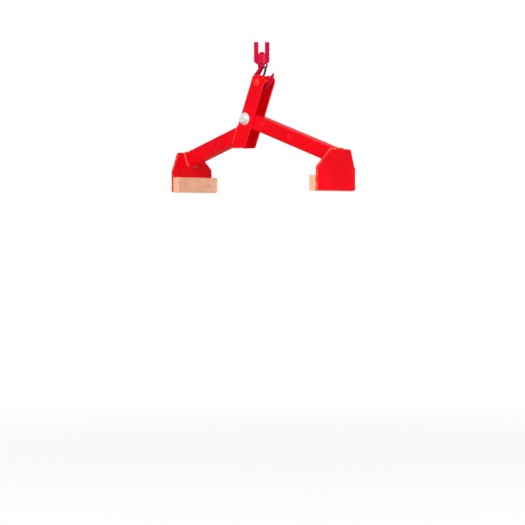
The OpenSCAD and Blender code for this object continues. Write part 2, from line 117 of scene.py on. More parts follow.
# Colours that show through or lie on the finishes
SCUFFED_PAINT = (0.95, 0.30, 0.22)
# Painted orange highlight that stands in for glints on edges, folds and welds
PAINTED_EDGE_HIGHLIGHT = (0.98, 0.24, 0.07)
BARE_STEEL = (0.19, 0.18, 0.17)
ZINC_STAIN = (0.55, 0.49, 0.36)
RUBBED_STEEL = (0.32, 0.31, 0.28)
RUBBED_RUBBER = (0.98, 0.70, 0.55)
DIRT = (0.42, 0.22, 0.14)


class LifterSizes(bpy.types.PropertyGroup):
    """Sizes of the made details"""
    plate_round: FloatProperty(
        name="Plate edge", description="Rounding of the plates' cut edges", default=0.9 * MM, unit="LENGTH")
    tube_round: FloatProperty(
        name="Tube edge", description="Rounding of the tubes' and the channel's cut edges", default=0.6 * MM,
        unit="LENGTH")
    pad_round: FloatProperty(
        name="Pad edge", description="Rounding of the rubber pads' edges", default=1.2 * MM, unit="LENGTH")
    small_round: FloatProperty(
        name="Small edge", description="Rounding of the edges of small pressed parts", default=0.4 * MM,
        unit="LENGTH")
    hex_round: FloatProperty(
        name="Hexagon edge", description="Rounding of the bolt's and the nut's edges", default=0.25 * MM,
        unit="LENGTH")
    bead_r: FloatProperty(
        name="Weld bead", description="Radius of the weld beads", default=3.8 * MM, unit="LENGTH")
    bead_step: FloatProperty(
        name="Weld ripple", description="Spacing of the ripples in a weld bead", default=3.9 * MM,
        unit="LENGTH")
    forging_grain: FloatProperty(
        name="Forging skin", description="Mesh size of the forged hook and yoke", default=0.7 * MM,
        unit="LENGTH")
    thread_pitch: FloatProperty(
        name="Thread pitch", description="Pitch of the pivot bolt's thread", default=2.0 * MM, unit="LENGTH")
    turn_steps: IntProperty(
        name="Turned steps", description="Steps round a turned part", default=72, min=24)


class LifterColours(bpy.types.PropertyGroup):
    """Colours of the finishes"""
    enamel: FloatVectorProperty(
        name="Frame enamel", description="Red of the frame", default=(0.93, 0.002, 0.010),
        subtype="COLOR", min=0, max=1)
    crimson: FloatVectorProperty(
        name="Hook enamel", description="Crimson of the hook and yoke", default=(0.54, 0.001, 0.032),
        subtype="COLOR", min=0, max=1)
    zinc: FloatVectorProperty(
        name="Zinc", description="Plating of the bolt, nut, washers and screws", default=(0.88, 0.88, 0.87),
        subtype="COLOR", min=0, max=1)
    spring_steel: FloatVectorProperty(
        name="Latch steel", description="Dull steel of the latch", default=(0.10, 0.10, 0.085),
        subtype="COLOR", min=0, max=1)
    bronze: FloatVectorProperty(
        name="Bronze", description="Bearing bronze of the bush and rings", default=(0.62, 0.36, 0.15),
        subtype="COLOR", min=0, max=1)
    rubber: FloatVectorProperty(
        name="Pad rubber", description="Cream rubber of the pads", default=(0.95, 0.50, 0.32),
        subtype="COLOR", min=0, max=1)


class LifterStage(bpy.types.PropertyGroup):
    """Camera, light and floor"""
    camera_turn: FloatProperty(
        name="Camera turn", description="Turn of the camera round the lifter", default=math.radians(41),
        subtype="ANGLE")
    camera_distance: FloatProperty(
        name="Camera distance", description="Camera to the hook's axis", default=7.0, unit="LENGTH")
    camera_aside: FloatProperty(
        name="Camera aside", description="Camera to the right of the hook's axis", default=0.0025,
        unit="LENGTH")
    camera_height: FloatProperty(
        name="Camera height", description="Camera's height from the hoist bore", default=-0.542,
        unit="LENGTH")
    camera_dip: FloatProperty(
        name="Camera dip", description="Tilt of the camera below the level", default=math.radians(1.033),
        subtype="ANGLE")
    lens: FloatProperty(
        name="Lens", description="Focal length in millimetres on a 36 mm sensor", default=154.9)
    floor_height: FloatProperty(
        name="Floor height", description="Floor's height from the hoist bore", default=-1.30, unit="LENGTH")
    floor_size: FloatProperty(
        name="Floor size", description="Length of the floor's sides", default=60.0, unit="LENGTH")
    ambient: FloatProperty(
        name="Ambient light", description="Strength of the even light from all round", default=0.22)
    mirrored: FloatProperty(
        name="Mirrored light", description="Strength of the white surroundings in reflections", default=0.4)


def sizes():
    return bpy.context.scene.lifter_sizes


def colours():
    return bpy.context.scene.lifter_colours


# Working on pieces


def activate(piece):
    """Makes a piece the active one and the only selected one."""
    bpy.ops.object.select_all(action="DESELECT")
    bpy.context.view_layer.objects.active = piece
    piece.select_set(True)


@contextmanager
def editing(piece):
    """Edit mode with all of the piece selected."""
    activate(piece)
    bpy.ops.object.mode_set(mode="EDIT")
    bpy.ops.mesh.select_all(action="SELECT")
    yield
    bpy.ops.object.mode_set(mode="OBJECT")


def select_points(piece, test):
    """In edit mode, selects the points that pass a test, and what lies between them."""
    bpy.ops.mesh.select_all(action="DESELECT")
    bpy.ops.object.mode_set(mode="OBJECT")
    for point in piece.data.vertices:
        point.select = test(point)
    bpy.ops.object.mode_set(mode="EDIT")


def placed(name, mesh):
    """Puts a mesh into the scene as a piece."""
    piece = bpy.data.objects.new(name, mesh)
    bpy.context.scene.collection.objects.link(piece)
    return piece


def new_line(name, points, closed):
    """A piece that is only a line so far, ready to be spun."""
    edges = [(i, i + 1) for i in range(len(points) - 1)]
    if closed:
        edges.append((len(points) - 1, 0))
    mesh = bpy.data.meshes.new(name)
    mesh.from_pydata(points, edges, [])
    return placed(name, mesh)


def added(name):
    """The primitive that was just added, under its own name and with its place in its mesh."""
    piece = bpy.context.view_layer.objects.active
    piece.name = piece.data.name = name
    activate(piece)
    bpy.ops.object.transform_apply(location=True, rotation=True, scale=True)
    return piece


def join(piece, other):
    """Makes two pieces one, without merging their points."""
    activate(piece)
    other.select_set(True)
    bpy.ops.object.join()


def modify(piece, kind, **settings):
    """Applies a modifier of a kind."""
    activate(piece)
    modifier = piece.modifiers.new(kind.lower(), kind)
    for key, value in settings.items():
        setattr(modifier, key, value)
    bpy.ops.object.modifier_apply(modifier=modifier.name)


def close_up(piece):
    """Merges points that lie together and drops faces without area."""
    with editing(piece):
        bpy.ops.mesh.remove_doubles(threshold=MERGE)
        bpy.ops.mesh.dissolve_degenerate(threshold=MERGE)


def face_out(piece):
    """Turns all faces outwards."""
    with editing(piece):
        bpy.ops.mesh.normals_make_consistent(inside=False)


def cut(piece, tool, operation):
    """Joins, cuts or trims a piece with a tool, which is used up."""
    modify(piece, "BOOLEAN", object=tool, operation=operation, solver="EXACT")
    bpy.data.objects.remove(tool)
    close_up(piece)


def skin_of(node, name, shortest=SHORTEST):
    """A merged copy of a solid, ready to have its edges rounded."""
    mesh = NODES[node].data.copy()
    mesh.name = name
    mesh.materials.clear()
    piece = placed(name, mesh)
    activate(piece)
    bpy.ops.mesh.customdata_custom_splitnormals_clear()
    with editing(piece):
        bpy.ops.mesh.remove_doubles(threshold=shortest)
        bpy.ops.mesh.dissolve_limited(angle_limit=FLAT)
    face_out(piece)
    return piece


def round_edges(piece, width, segments=2):
    """Rounds the sharp edges; the rounded strips take the piece's second finish, if it has one."""
    modify(
        piece, "BEVEL", width=width, segments=segments, limit_method="ANGLE", angle_limit=SHARP,
        use_clamp_overlap=False, miter_outer="MITER_ARC", material=len(piece.data.materials) - 1)
    close_up(piece)
    modify(piece, "TRIANGULATE", min_vertices=5)
    modify(piece, "WEIGHTED_NORMAL", keep_sharp=True, weight=80)


def dress(piece, *names):
    """Gives a piece its finishes."""
    for name in names:
        piece.data.materials.append(bpy.data.materials[name])


def deliver(piece, body, slot, *replaced, smooth=True):
    """Hands a piece to the body that carries it, in place of the solids that it stands for; slot is not used.
    """
    activate(piece)
    if smooth:
        bpy.ops.object.shade_smooth_by_angle(angle=SHARP)
    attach(piece, body)
    if replaced:
        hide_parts(*replaced)


def turned(name, origin, axis, profile, closed=False):
    """Spins a profile of (radius, distance along the axis), in millimetres, about a line through origin."""
    along, out = AXES[axis]
    points = [origin + (out * r + along * d) * MM for r, d in profile]
    piece = new_line(name, points, closed)
    with editing(piece):
        bpy.ops.mesh.spin(
            steps=sizes().turn_steps, angle=FULL_TURN, center=origin, axis=along, use_auto_merge=False)
    with editing(piece):
        bpy.ops.mesh.remove_doubles(threshold=MERGE_TURNED)
        bpy.ops.mesh.normals_make_consistent(inside=False)
    return piece


def hex_radius(flats):
    """Radius over the corners of a hexagon."""
    return flats / 2 / math.cos(math.pi / 6)


def hex_bar(name, origin, flats, start, end):
    """A hexagonal bar along Y with two corners level, in millimetres from origin."""
    bpy.ops.mesh.primitive_cylinder_add(
        vertices=6, radius=hex_radius(flats) * MM, depth=(end - start) * MM,
        location=origin + Vector((0, (start + end) / 2 * MM, 0)), rotation=(QUARTER_TURN, math.pi / 6, 0))
    return added(name)


# Finishes


class Socket:
    """A shader value that can stand in sums with other values and with numbers."""

    def __init__(self, nodes, output):
        self.nodes = nodes
        self.output = output

    def _with(self, operation, first, second):
        return self.nodes.node("ShaderNodeMath", {"operation": operation}, {0: first, 1: second})

    def __add__(self, other):
        return self._with("ADD", self, other)

    def __radd__(self, other):
        return self._with("ADD", other, self)

    def __sub__(self, other):
        return self._with("SUBTRACT", self, other)

    def __rsub__(self, other):
        return self._with("SUBTRACT", other, self)

    def __mul__(self, other):
        return self._with("MULTIPLY", self, other)

    def larger(self, other):
        return self._with("MAXIMUM", self, other)


class Nodes:
    """A node tree to which nodes are added together with what feeds them."""

    def __init__(self, tree):
        self.tree = tree

    def node(self, kind, settings=None, inputs=None, output=0):
        made = self.tree.nodes.new(kind)
        for key, value in (settings or {}).items():
            setattr(made, key, value)
        for key, value in (inputs or {}).items():
            self.feed(made.inputs[key], value)
        return Socket(self, made.outputs[output])

    def feed(self, socket, value):
        if isinstance(value, Socket):
            self.tree.links.new(value.output, socket)
        else:
            socket.default_value = value

    def ray(self, kind):
        """1 for the rays of a kind, such as Camera or Glossy, and 0 for others."""
        return self.node("ShaderNodeLightPath", output=f"Is {kind} Ray")


class Finish(Nodes):
    """A material under construction."""

    def __init__(self, name):
        self.material = bpy.data.materials.new(name)
        self.material.use_nodes = True
        super().__init__(self.material.node_tree)
        self.tree.nodes.clear()
        self.surface = self.tree.nodes.new("ShaderNodeOutputMaterial").inputs["Surface"]
        self.place = self.node("ShaderNodeTexCoord", output="Object")

    def noise(self, scale, detail, rough=0.5, stretch=None):
        place = self.place
        if stretch:
            place = self.node("ShaderNodeMapping", None, {"Vector": place, "Scale": stretch})
        return self.node("ShaderNodeTexNoise", None, {
            "Vector": place, "Scale": scale, "Detail": detail, "Roughness": rough})

    def step(self, value, low, high):
        """0 below low, 1 above high, and smooth between them."""
        return self.node(
            "ShaderNodeMapRange", {"interpolation_type": "SMOOTHSTEP"},
            {"Value": value, "From Min": low, "From Max": high})

    def mix(self, factor, first, second):
        """From the first colour at 0 to the second at 1."""
        first, second = (c if isinstance(c, Socket) else (*c, 1) for c in (first, second))
        return self.node(
            "ShaderNodeMix", {"data_type": "RGBA"}, {0: factor, 6: first, 7: second}, output=2)

    def bump(self, height, distance, strength):
        return self.node(
            "ShaderNodeBump", None, {"Height": height, "Distance": distance, "Strength": strength})

    def shade(self, **inputs):
        """Ends the material with one shader."""
        inputs = {key.replace("_", " "): value for key, value in inputs.items()}
        self.feed(self.surface, self.node("ShaderNodeBsdfPrincipled", None, inputs))


def shade_of(colour, factor):
    return tuple(c * factor for c in colour)


def enamel(name, colour, wear, texture, highlight_share, gloss):
    """Gloss enamel over primer: orange peel, cloudy tone, scuffs, chips and, on edges, a painted orange
    highlight.
    """
    f = Finish(name)
    cloud = f.noise(7.0, 3.0)
    peel = f.noise(texture, 2.0)
    scuff = f.step(f.noise(30.0, 6.0, 0.7, (1, 9, 1)), 0.58, 0.72)
    flake = f.noise(140.0, 5.0, 0.6) + (f.noise(17.0, 2.0) - 0.5) * 0.9
    chip = f.step(flake, 0.86 - wear, 0.88 - wear)
    rim = f.step(flake, 0.83 - wear, 0.86 - wear)
    tone = f.mix(f.step(cloud, 0.35, 0.7), shade_of(colour, 0.86), colour)
    tone = f.mix(scuff * 0.07, tone, SCUFFED_PAINT)
    # Painted highlight: orange patches laid on the edge, fold and weld finishes where glints would fall
    tone = f.mix(f.step(f.noise(60.0, 4.0), 0.3, 0.65) * highlight_share, tone, PAINTED_EDGE_HIGHLIGHT)
    tone = f.mix(rim * 0.6, tone, shade_of(colour, 0.45))
    tone = f.mix(chip, tone, BARE_STEEL)
    f.shade(
        Base_Color=tone,
        Roughness=0.24 + cloud * 0.08 + scuff * 0.16 + chip * 0.25,
        Metallic=chip * 0.7,
        Specular_IOR_Level=gloss,
        Normal=f.bump(peel * 0.5 + cloud - chip * 0.7, 0.25 * MM, 0.5),
    )


def plating(name, colour):
    """Zinc plate with faint clouding, stains and drag marks."""
    f = Finish(name)
    cloud = f.noise(90.0, 4.0, 0.6)
    drag = f.noise(55.0, 5.0, 0.6, (1, 12, 1))
    stain = f.step(f.noise(38.0, 5.0, 0.65), 0.6, 0.75)
    tone = f.mix(f.step(cloud, 0.3, 0.7), shade_of(colour, 0.84), colour)
    tone = f.mix(stain * 0.35, tone, ZINC_STAIN)
    f.shade(
        Base_Color=tone,
        Metallic=0.35,
        Roughness=0.30 + drag * 0.16 + stain * 0.16,
        Normal=f.bump(drag + cloud, 0.08 * MM, 0.5),
    )


def dull_steel(name, colour):
    """Tempered spring steel with rubbed patches."""
    f = Finish(name)
    cloud = f.noise(70.0, 4.0)
    rub = f.step(f.noise(120.0, 6.0, 0.7, (1, 1, 0.2)), 0.52, 0.68)
    tone = f.mix(f.step(cloud, 0.3, 0.7), shade_of(colour, 0.7), colour)
    tone = f.mix(rub * 0.5, tone, RUBBED_STEEL)
    f.shade(
        Base_Color=tone,
        Metallic=0.85,
        Roughness=0.5 - rub * 0.15 + cloud * 0.08,
        Normal=f.bump(cloud + rub, 0.1 * MM, 0.6),
    )


def bearing_bronze(name, colour):
    """Turned bronze with oil-darkened patches."""
    f = Finish(name)
    lathe_line = f.noise(25.0, 3.0, 0.5, (1, 40, 1))
    oil = f.step(f.noise(45.0, 4.0), 0.45, 0.7)
    f.shade(
        Base_Color=f.mix(oil * 0.6, colour, shade_of(colour, 0.45)),
        Metallic=1.0,
        Roughness=0.3 + lathe_line * 0.15 - oil * 0.08,
        Normal=f.bump(lathe_line, 0.05 * MM, 0.6),
    )


def moulded_rubber(name, colour):
    """Cream moulded rubber: fine pores, mould bloom, rubbing marks and dirt."""
    f = Finish(name)
    bloom = f.noise(22.0, 5.0, 0.6)
    pore = f.noise(900.0, 3.0, 0.6)
    rub = f.step(f.noise(40.0, 6.0, 0.7, (1, 1, 6)), 0.57, 0.72)
    dirt = f.step(f.noise(60.0, 7.0, 0.72), 0.60, 0.78)
    tone = f.mix(f.step(bloom, 0.3, 0.72), shade_of(colour, 0.86), colour)
    tone = f.mix(rub * 0.25, tone, RUBBED_RUBBER)
    tone = f.mix(dirt * 0.35, tone, DIRT)
    f.shade(
        Base_Color=tone,
        Roughness=0.68 + bloom * 0.14 - rub * 0.12,
        Specular_IOR_Level=0.3,
        Normal=f.bump(pore * 0.6 + bloom * 0.5 - dirt * 0.4, 0.22 * MM, 0.6),
    )


# Welds


def resampled(corners, step):
    """Points at an even spacing of about step round a closed line."""
    loop = corners + corners[:1]
    lengths = [(b - a).length for a, b in zip(loop, loop[1:])]
    count = max(8, round(sum(lengths) / step))
    spacing = sum(lengths) / count
    found, start, i = [], 0.0, 0
    for k in range(count):
        while k * spacing > start + lengths[i]:
            start += lengths[i]
            i += 1
        found.append(loop[i].lerp(loop[i + 1], (k * spacing - start) / lengths[i]))
    return found


def tube_outline(steps=6):
    """Rounded outline of the arm tube as (height, width) pairs, with the bead's margin round it."""
    pairs = []
    for turn, (h, w) in enumerate(((1, 1), (-1, 1), (-1, -1), (1, -1))):
        for k in range(steps + 1):
            angle = QUARTER_TURN * (turn + k / steps)
            pairs.append((
                h * (TUBE_HALF_H - TUBE_R) + math.cos(angle) * (TUBE_R + BEAD_MARGIN),
                w * (TUBE_HALF_W - TUBE_R) + math.sin(angle) * (TUBE_R + BEAD_MARGIN)))
    return pairs


def weld_bead(name, corners, radius, seed):
    """One ripple is modelled and copied along the seam, then all of them are fused into one skin."""
    draw = random.Random(seed)
    seam = resampled(corners, sizes().bead_step)
    bpy.ops.mesh.primitive_ico_sphere_add(subdivisions=3, radius=radius, location=seam[0])
    piece = added(name)
    here, size = seam[0], 1.0
    with editing(piece):
        for place in seam[1:]:
            there = place + Vector([draw.uniform(-BEAD_STRAY, BEAD_STRAY) for _ in range(3)])
            next_size = draw.uniform(*BEAD_SIZES)
            bpy.ops.mesh.duplicate_move(TRANSFORM_OT_translate={"value": there - here})
            bpy.ops.transform.resize(value=[next_size / size] * 3, center_override=there)
            here, size = there, next_size
    modify(piece, "REMESH", mode="VOXEL", voxel_size=BEAD_GRAIN)
    modify(piece, "SMOOTH", factor=0.5, iterations=2)
    # The weld finish carries a painted orange highlight
    dress(piece, "weld_enamel")
    return piece


def arm_weld(name, side, seed):
    """Bead between an arm's tube and the inner face of its jaw plate."""
    up = Vector((side * math.sin(ARM_SLOPE), 0, math.cos(ARM_SLOPE)))
    inward = Vector((-side * math.cos(ARM_SLOPE), 0, math.sin(ARM_SLOPE)))
    middle = Vector((side * ARM_END.x, 0, ARM_END.z)) + inward * BEAD_SEAT
    corners = [middle + up * h + Vector((0, w, 0)) for h, w in tube_outline()]
    return weld_bead(name, corners, sizes().bead_r, seed)


def web_weld(name, seed):
    """Bead between the fixed arm's slant-cut tube and the mast's web."""
    along = Vector((math.cos(ARM_SLOPE), 0, math.sin(ARM_SLOPE)))
    up = Vector((-math.sin(ARM_SLOPE), 0, math.cos(ARM_SLOPE)))
    end = Vector((-ARM_END.x, 0, ARM_END.z))
    across = Vector((math.cos(MAST_TILT), 0, -math.sin(MAST_TILT)))
    wall = PIN + across * WEB_OUTSIDE
    corners = []
    for h, w in tube_outline():
        foot = end + up * h + Vector((0, w, 0))
        reach = (wall - foot).dot(across) / along.dot(across)
        corners.append(foot + along * reach - across * BEAD_SEAT)
    return weld_bead(name, corners, sizes().bead_r, seed)


def pin_weld(name, side, seed, steps=48):
    """Ring bead between the lifting pin and a flange."""
    low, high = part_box("mast_channel")
    y = (low.y if side < 0 else high.y) + side * BEAD_MARGIN
    ring = PIN_R + PIN_BEAD_OUT
    angles = [FULL_TURN * k / steps for k in range(steps)]
    corners = [Vector((PIN.x + ring * math.cos(a), y, PIN.z + ring * math.sin(a))) for a in angles]
    return weld_bead(name, corners, PIN_BEAD_R, seed)


# Hook line


def on_bowl(angle, thick):
    """A ring on the hook's bowl: place across and up, thickness and width."""
    r, turn = BOWL_R + thick / 2, math.radians(angle)
    return r * math.cos(turn), BOWL_Z + r * math.sin(turn), thick, HOOK_W


def on_tip(share, thick, wide):
    """A ring on the hook's straight tip, at a share of its length."""
    x, z = on_bowl(-TIP_LEAN, TIP_T)[:2]
    lean = math.radians(TIP_LEAN)
    return x + share * TIP_LEN * math.sin(lean), z + share * TIP_LEN * math.cos(lean), thick, wide


def hook_rings():
    """Rings from the neck over the back, round the bowl and up the tip."""
    drop = COLLAR_FOOT - BOWL_Z
    return (
        (0.0, COLLAR_FOOT + 5.0, NECK_T, NECK_T),
        (-0.04 * BOWL_R, COLLAR_FOOT, NECK_T, NECK_T),
        (-0.37 * BOWL_R, COLLAR_FOOT - 0.42 * drop, (NECK_T + BACK_T) / 2, (NECK_T + HOOK_W) / 2),
        (-0.78 * BOWL_R, COLLAR_FOOT - 0.75 * drop, BACK_T, HOOK_W),
        (-1.1 * BOWL_R, COLLAR_FOOT - 1.16 * drop, BACK_T, HOOK_W),
        on_bowl(216, (BACK_T + BOTTOM_T) / 2),
        on_bowl(242, BOTTOM_T - 1.0),
        on_bowl(270, BOTTOM_T),
        on_bowl(300, (BOTTOM_T + TIP_T) / 2),
        on_bowl(-TIP_LEAN, TIP_T),
        on_tip(0.5, 0.78 * TIP_T, 0.72 * HOOK_W),
        on_tip(0.9, 0.5 * TIP_T, 0.42 * HOOK_W),
        on_tip(1.0, 0.2 * TIP_T, 0.22 * HOOK_W),
    )


# Operators


class LifterOperator:
    """What all of the lifter's operators share"""
    bl_options = {"REGISTER", "UNDO"}


class LIFTER_OT_finishes(LifterOperator, bpy.types.Operator):
    """Paint, plating, steel, bronze and rubber finishes"""
    bl_idname = "lifter.finishes"
    bl_label = "Finishes"

    def execute(self, context):
        c = colours()
        enamel("frame_enamel", c.enamel, wear=0.0, texture=420.0, highlight_share=0.0, gloss=0.08)
        # The edge, fold and weld finishes carry the painted orange highlight, strongest on the plates' edges
        enamel("frame_enamel_edge", c.enamel, wear=0.10, texture=420.0, highlight_share=0.45, gloss=0.12)
        enamel("fold_enamel", c.enamel, wear=0.06, texture=420.0, highlight_share=0.12, gloss=0.12)
        enamel("weld_enamel", c.enamel, wear=0.02, texture=300.0, highlight_share=0.25, gloss=0.35)
        enamel("hook_enamel", c.crimson, wear=0.04, texture=260.0, highlight_share=0.0, gloss=0.12)
        plating("zinc_plate", c.zinc)
        dull_steel("spring_steel", c.spring_steel)
        bearing_bronze("bearing_bronze", c.bronze)
        moulded_rubber("cream_rubber", c.rubber)
        return {"FINISHED"}


class LIFTER_OT_frame(LifterOperator, bpy.types.Operator):
    """Rounded sheet steel of the mast, arms and jaw plates"""
    bl_idname = "lifter.frame"
    bl_label = "Steel frame"

    def execute(self, context):
        s = sizes()
        for node, name, body in (
            ("mast_channel", "mast_folded_channel", "mast"),
            ("fixed_arm_tube", "fixed_arm_box_tube", "mast"),
            ("fixed_jaw_plate", "fixed_jaw_bent_plate", "mast"),
            ("swing_arm_tube", "swing_arm_box_tube", "swing_arm"),
            ("swing_jaw_plate", "swing_jaw_bent_plate", "swing_arm"),
        ):
            piece = skin_of(node, name)
            # Cut sides and rounded strips take the edge or fold finish, with its painted highlight
            if node.endswith("plate"):
                dress(piece, "frame_enamel", "frame_enamel_edge")
                self.mark_cut_sides(piece)
                round_edges(piece, s.plate_round)
            else:
                dress(piece, "frame_enamel", "fold_enamel")
                round_edges(piece, s.tube_round)
            deliver(piece, body, "red_paint", node, smooth=False)
        return {"FINISHED"}

    def mark_cut_sides(self, plate):
        """Gives the edge's finish, with its painted orange highlight, to the sides that don't face along X,
        as the plate's two faces do.
        """
        for face in plate.data.polygons:
            face.material_index = int(abs(face.normal.x) < 0.5)


class LIFTER_OT_lifting_pin(LifterOperator, bpy.types.Operator):
    """Turned lifting pin across the mast, with rounded ends and a worn middle"""
    bl_idname = "lifter.lifting_pin"
    bl_label = "Lifting pin"

    def execute(self, context):
        start, end = (corner.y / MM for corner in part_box("lifting_pin"))
        r = PIN_R / MM
        worn_half, worn_r = 9.0, r - 0.15
        rounding = [(r - 1.4, 0), (r - 0.5, 0.3), (r, 1.0)]
        piece = turned("lifting_pin_bar", PIN, "Y", [
            (0, start), *((radius, start + d) for radius, d in rounding),
            (r, -worn_half), (worn_r, 1.0 - worn_half), (worn_r, worn_half - 1.0), (r, worn_half),
            *((radius, end - d) for radius, d in reversed(rounding)), (0, end)])
        # The whole pin takes the edge finish, with its painted orange highlight
        dress(piece, "frame_enamel_edge")
        deliver(piece, "mast", "red_paint", "lifting_pin")
        return {"FINISHED"}


class LIFTER_OT_welds(LifterOperator, bpy.types.Operator):
    """Rippled weld beads of the arms, jaw plates and lifting pin"""
    bl_idname = "lifter.welds"
    bl_label = "Welds"

    def execute(self, context):
        for piece, body in (
            (arm_weld("fixed_jaw_weld", -1, 3), "mast"),
            (arm_weld("swing_jaw_weld", 1, 5), "swing_arm"),
            (web_weld("fixed_arm_weld", 7), "mast"),
            (pin_weld("front_pin_weld", -1, 11), "mast"),
            (pin_weld("rear_pin_weld", 1, 13), "mast"),
        ):
            deliver(piece, body, "red_paint")
        return {"FINISHED"}


class LIFTER_OT_suspension(LifterOperator, bpy.types.Operator):
    """Forged yoke, barrel cap and hook"""
    bl_idname = "lifter.suspension"
    bl_label = "Yoke and hook"

    def forge(self, piece, smoothing):
        """Gives a piece the soft edges and the paint of a forging."""
        modify(piece, "REMESH", mode="VOXEL", voxel_size=sizes().forging_grain)
        modify(piece, "SMOOTH", factor=0.5, iterations=smoothing)
        dress(piece, "hook_enamel")

    def hook_loft(self, name):
        """Rings along the hook's line, bridged and subdivided; the swell makes up for what that shrinks."""
        corners, swell = 12, 1.035
        rings = hook_rings()
        piece = None
        for i, (x, z, thick, wide) in enumerate(rings):
            before, after = rings[max(0, i - 1)], rings[min(len(rings) - 1, i + 1)]
            turn = math.atan2(after[0] - before[0], after[1] - before[1])
            bpy.ops.mesh.primitive_circle_add(
                vertices=corners, radius=0.5 * MM, location=(x * MM, 0, z * MM), rotation=(0, turn, 0))
            bpy.context.view_layer.objects.active.scale = (thick * swell, wide * swell, 1)
            circle = added(name)
            if piece is None:
                piece = circle
                continue
            join(piece, circle)
            with editing(piece):
                select_points(piece, lambda point: point.index // corners in (i - 1, i))
                bpy.ops.mesh.bridge_edge_loops()
        with editing(piece):
            bpy.ops.mesh.select_all(action="DESELECT")
            bpy.ops.mesh.select_non_manifold()
            bpy.ops.mesh.edge_face_add()
        close_up(piece)
        face_out(piece)
        modify(piece, "SUBSURF", levels=3, render_levels=3)
        return piece

    def shank(self):
        """Shank and collar, with a fillet down to the neck."""
        neck_r, ease, foot_ease, fillet = NECK_T / 2, 0.8, 1.2, 4.0
        return turned("hook_shank", Vector((0, 0, 0)), "Z", [
            (0, SHANK_TOP), (SHANK_R - ease, SHANK_TOP), (SHANK_R, SHANK_TOP - ease),
            (SHANK_R, COLLAR_TOP), (COLLAR_R - ease, COLLAR_TOP), (COLLAR_R, COLLAR_TOP - ease),
            (COLLAR_R, COLLAR_FOOT + foot_ease), (COLLAR_R - foot_ease, COLLAR_FOOT),
            (neck_r + 1.6, COLLAR_FOOT - 1.4), (neck_r + 0.4, COLLAR_FOOT - fillet),
            (0, COLLAR_FOOT - fillet)])

    def latch_lug(self):
        """The hook's ear for the latch: a short cylinder drawn out towards the shank."""
        radius, width, drawn = 4.0 * MM, 4.0 * MM, 10.0 * MM
        bpy.ops.mesh.primitive_cylinder_add(
            vertices=48, radius=radius, depth=width, location=RIVET, rotation=(QUARTER_TURN, 0, 0))
        lug = added("latch_lug")
        with editing(lug):
            select_points(lug, lambda point: point.co.x < RIVET.x)
            bpy.ops.transform.translate(value=(-drawn, 0, 0))
        return lug

    def execute(self, context):
        yoke = skin_of("yoke", "forged_yoke")
        self.forge(yoke, 5)
        deliver(yoke, "yoke", "hook_paint", "yoke")

        cap = skin_of("swivel_cap", "barrel_cap", SHORTEST_SMALL)
        dress(cap, "hook_enamel")
        round_edges(cap, sizes().small_round)
        deliver(cap, "yoke", "hook_paint", "swivel_cap", smooth=False)

        hook = self.hook_loft("forged_hook")
        for part in (self.shank(), self.latch_lug()):
            cut(hook, part, "UNION")
        self.forge(hook, 3)
        deliver(hook, "hook", "hook_paint", "hook")
        return {"FINISHED"}


class LIFTER_OT_latch(LifterOperator, bpy.types.Operator):
    """Bent latch strip and its domed rivet"""
    bl_idname = "lifter.latch"
    bl_label = "Latch"

    def execute(self, context):
        latch = skin_of("latch", "latch_strip", SHORTEST_SMALL)
        dress(latch, "spring_steel")
        round_edges(latch, sizes().small_round)
        deliver(latch, "latch", "latch_steel", "latch", smooth=False)

        low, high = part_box("latch_rivet")
        half, head_r = (high.y - low.y) / 2 / MM, (high.x - low.x) / 2 / MM
        stem_r, head_h = 2.0, 1.0
        head = [
            (0, half), (head_r * 0.5, half - 0.12), (head_r * 0.85, half - 0.45), (head_r, half - 0.8),
            (head_r, half - head_h), (stem_r, half - head_h)]
        tail = [(r, -d) for r, d in reversed(head)]
        rivet = turned("latch_rivet_domed", RIVET, "Y", head + tail)
        dress(rivet, "zinc_plate")
        deliver(rivet, "hook", "zinc", "latch_rivet")
        return {"FINISHED"}


